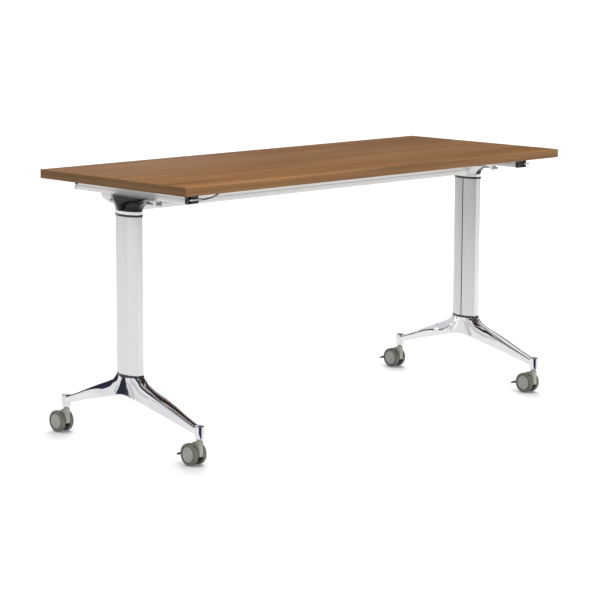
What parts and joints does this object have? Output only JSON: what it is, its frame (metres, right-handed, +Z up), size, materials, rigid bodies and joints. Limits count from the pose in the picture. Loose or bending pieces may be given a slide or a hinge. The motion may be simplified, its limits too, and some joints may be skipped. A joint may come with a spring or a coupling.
{
  "type": "flip top training table",
  "caption": "Wheeled training table: a rectangular wood-grain top that flips upright on octagonal T legs with polished swept feet, a crossbeam, release levers and swivelling casters.",
  "frame": {"origin": "on the floor, under the middle of the table's box, which reaches from the worktop's front edge to the rear brake pedal's tip", "axes": "+X along the worktop, +Z up, -Y towards the edge with the release levers, which lifts when the top is flipped"},
  "size_m": [1.524, 0.678, 0.756],
  "materials": {
    "laminate": "satin wood-grain laminate",
    "edging": "matching wood-grain edge band",
    "anodised": "satin silver",
    "column": "satin silver-white",
    "polished": "mirror polished",
    "head_casting": "satin cast silver",
    "black_gloss": "glossy black",
    "black_plastic": "moulded black",
    "gasket": "black",
    "cable": "black sheath",
    "steel": "plated",
    "blackened_steel": "blackened",
    "caster_body": "moulded warm grey",
    "caster_wheel": "moulded warm grey, soft tread"
  },
  "bodies": {
    "base": {"left_column": "column", "left_head_gasket": "gasket", "left_foot_gasket": "gasket", "left_tie_rod": "steel", "left_foot": "polished", "left_head": "head_casting", "left_head_cover": "black_gloss", "right_column": "column", "right_head_gasket": "gasket", "right_foot_gasket": "gasket", "right_tie_rod": "steel", "right_foot": "polished", "right_head": "head_casting", "right_head_cover": "black_gloss", "crossbeam": "anodised", "front_left_stem": "steel", "front_right_stem": "steel", "rear_left_stem": "steel", "rear_right_stem": "steel"},
    "top": {"worktop": "laminate", "edge_band": "edging", "left_rail": "anodised", "left_rear_cap": "black_plastic", "left_release_housing": "black_plastic", "left_tilt_bracket": "anodised", "left_pivot_pin": "steel", "right_rail": "anodised", "right_rear_cap": "black_plastic", "right_release_housing": "black_plastic", "right_tilt_bracket": "anodised", "right_pivot_pin": "steel", "release_cable": "cable", "left_cable_clip": "black_plastic", "middle_cable_clip": "black_plastic", "right_cable_clip": "black_plastic"},
    "left_lever": {"left_release_lever": "steel"},
    "right_lever": {"right_release_lever": "steel"},
    "left_latch": {"left_latch_bolt": "blackened_steel", "left_pull_rod": "steel"},
    "right_latch": {"right_latch_bolt": "blackened_steel", "right_pull_rod": "steel"},
    "front_left_caster": {"front_left_fork": "caster_body", "front_left_axle": "steel"},
    "front_right_caster": {"front_right_fork": "caster_body", "front_right_axle": "steel"},
    "rear_left_caster": {"rear_left_fork": "caster_body", "rear_left_axle": "steel"},
    "rear_right_caster": {"rear_right_fork": "caster_body", "rear_right_axle": "steel"},
    "front_left_outer_wheel": {"front_left_wheel_a": "caster_wheel"},
    "front_left_inner_wheel": {"front_left_wheel_b": "caster_wheel"},
    "front_right_inner_wheel": {"front_right_wheel_a": "caster_wheel"},
    "front_right_outer_wheel": {"front_right_wheel_b": "caster_wheel"},
    "rear_left_outer_wheel": {"rear_left_wheel_a": "caster_wheel"},
    "rear_left_inner_wheel": {"rear_left_wheel_b": "caster_wheel"},
    "rear_right_inner_wheel": {"rear_right_wheel_a": "caster_wheel"},
    "rear_right_outer_wheel": {"rear_right_wheel_b": "caster_wheel"},
    "front_left_pedal": {"front_left_brake_pedal": "caster_body"},
    "front_right_pedal": {"front_right_brake_pedal": "caster_body"},
    "rear_right_pedal": {"rear_right_brake_pedal": "caster_body"}
  },
  "joints": [
    {"name": "top_flip", "type": "hinge", "parent": "base", "child": "top", "pos_m": [0, 0.044, 0.684], "axis": [-1, 0, 0], "range_deg": [0, 90]},
    {"name": "left_release", "type": "hinge", "parent": "top", "child": "left_lever", "pos_m": [-0.684, -0.255, 0.7217], "axis": [-1, 0, 0], "range_deg": [0, 25], "stiffness_Nm_per_rad": 0.3, "springref_deg": -11.46},
    {"name": "right_release", "type": "hinge", "parent": "top", "child": "right_lever", "pos_m": [0.684, -0.255, 0.7217], "axis": [-1, 0, 0], "range_deg": [0, 25]},
    {"name": "left_latch_slide", "type": "slide", "parent": "top", "child": "left_latch", "axis": [0, -1, 0], "range_m": [0, 0.0067]},
    {"name": "right_latch_slide", "type": "slide", "parent": "top", "child": "right_latch", "axis": [0, -1, 0], "range_m": [0, 0.0067]},
    {"name": "front_left_swivel", "type": "hinge", "parent": "base", "child": "front_left_caster", "pos_m": [-0.695, -0.314, 0.07], "axis": [0, 0, 1], "continuous": true},
    {"name": "front_right_swivel", "type": "hinge", "parent": "base", "child": "front_right_caster", "pos_m": [0.695, -0.314, 0.07], "axis": [0, 0, 1], "continuous": true},
    {"name": "rear_left_swivel", "type": "hinge", "parent": "base", "child": "rear_left_caster", "pos_m": [-0.695, 0.252, 0.07], "axis": [0, 0, 1], "continuous": true},
    {"name": "rear_right_swivel", "type": "hinge", "parent": "base", "child": "rear_right_caster", "pos_m": [0.695, 0.252, 0.07], "axis": [0, 0, 1], "continuous": true},
    {"name": "front_left_outer_roll", "type": "hinge", "parent": "front_left_caster", "child": "front_left_outer_wheel", "pos_m": [-0.71, -0.29, 0.03073], "axis": [1, 0, 0], "continuous": true},
    {"name": "front_left_inner_roll", "type": "hinge", "parent": "front_left_caster", "child": "front_left_inner_wheel", "pos_m": [-0.68, -0.29, 0.03073], "axis": [1, 0, 0], "continuous": true},
    {"name": "front_right_inner_roll", "type": "hinge", "parent": "front_right_caster", "child": "front_right_inner_wheel", "pos_m": [0.68, -0.29, 0.03073], "axis": [1, 0, 0], "continuous": true},
    {"name": "front_right_outer_roll", "type": "hinge", "parent": "front_right_caster", "child": "front_right_outer_wheel", "pos_m": [0.71, -0.29, 0.03073], "axis": [1, 0, 0], "continuous": true},
    {"name": "rear_left_outer_roll", "type": "hinge", "parent": "rear_left_caster", "child": "rear_left_outer_wheel", "pos_m": [-0.71, 0.276, 0.03073], "axis": [1, 0, 0], "continuous": true},
    {"name": "rear_left_inner_roll", "type": "hinge", "parent": "rear_left_caster", "child": "rear_left_inner_wheel", "pos_m": [-0.68, 0.276, 0.03073], "axis": [1, 0, 0], "continuous": true},
    {"name": "rear_right_inner_roll", "type": "hinge", "parent": "rear_right_caster", "child": "rear_right_inner_wheel", "pos_m": [0.68, 0.276, 0.03073], "axis": [1, 0, 0], "continuous": true},
    {"name": "rear_right_outer_roll", "type": "hinge", "parent": "rear_right_caster", "child": "rear_right_outer_wheel", "pos_m": [0.71, 0.276, 0.03073], "axis": [1, 0, 0], "continuous": true},
    {"name": "front_left_brake", "type": "hinge", "parent": "front_left_caster", "child": "front_left_pedal", "pos_m": [-0.695, -0.27, 0.03073], "axis": [-1, 0, 0], "range_deg": [0, 15]},
    {"name": "front_right_brake", "type": "hinge", "parent": "front_right_caster", "child": "front_right_pedal", "pos_m": [0.695, -0.27, 0.03073], "axis": [-1, 0, 0], "range_deg": [0, 15]},
    {"name": "rear_right_brake", "type": "hinge", "parent": "rear_right_caster", "child": "rear_right_pedal", "pos_m": [0.695, 0.296, 0.03073], "axis": [-1, 0, 0], "range_deg": [0, 15]}
  ],
  "couplings": [
    {"joint": "left_release", "follows": "left_latch_slide", "rad_per_m": 65.12},
    {"joint": "right_release", "follows": "left_latch_slide", "rad_per_m": 65.12},
    {"joint": "right_latch_slide", "follows": "left_latch_slide", "ratio": 1}
  ]
}
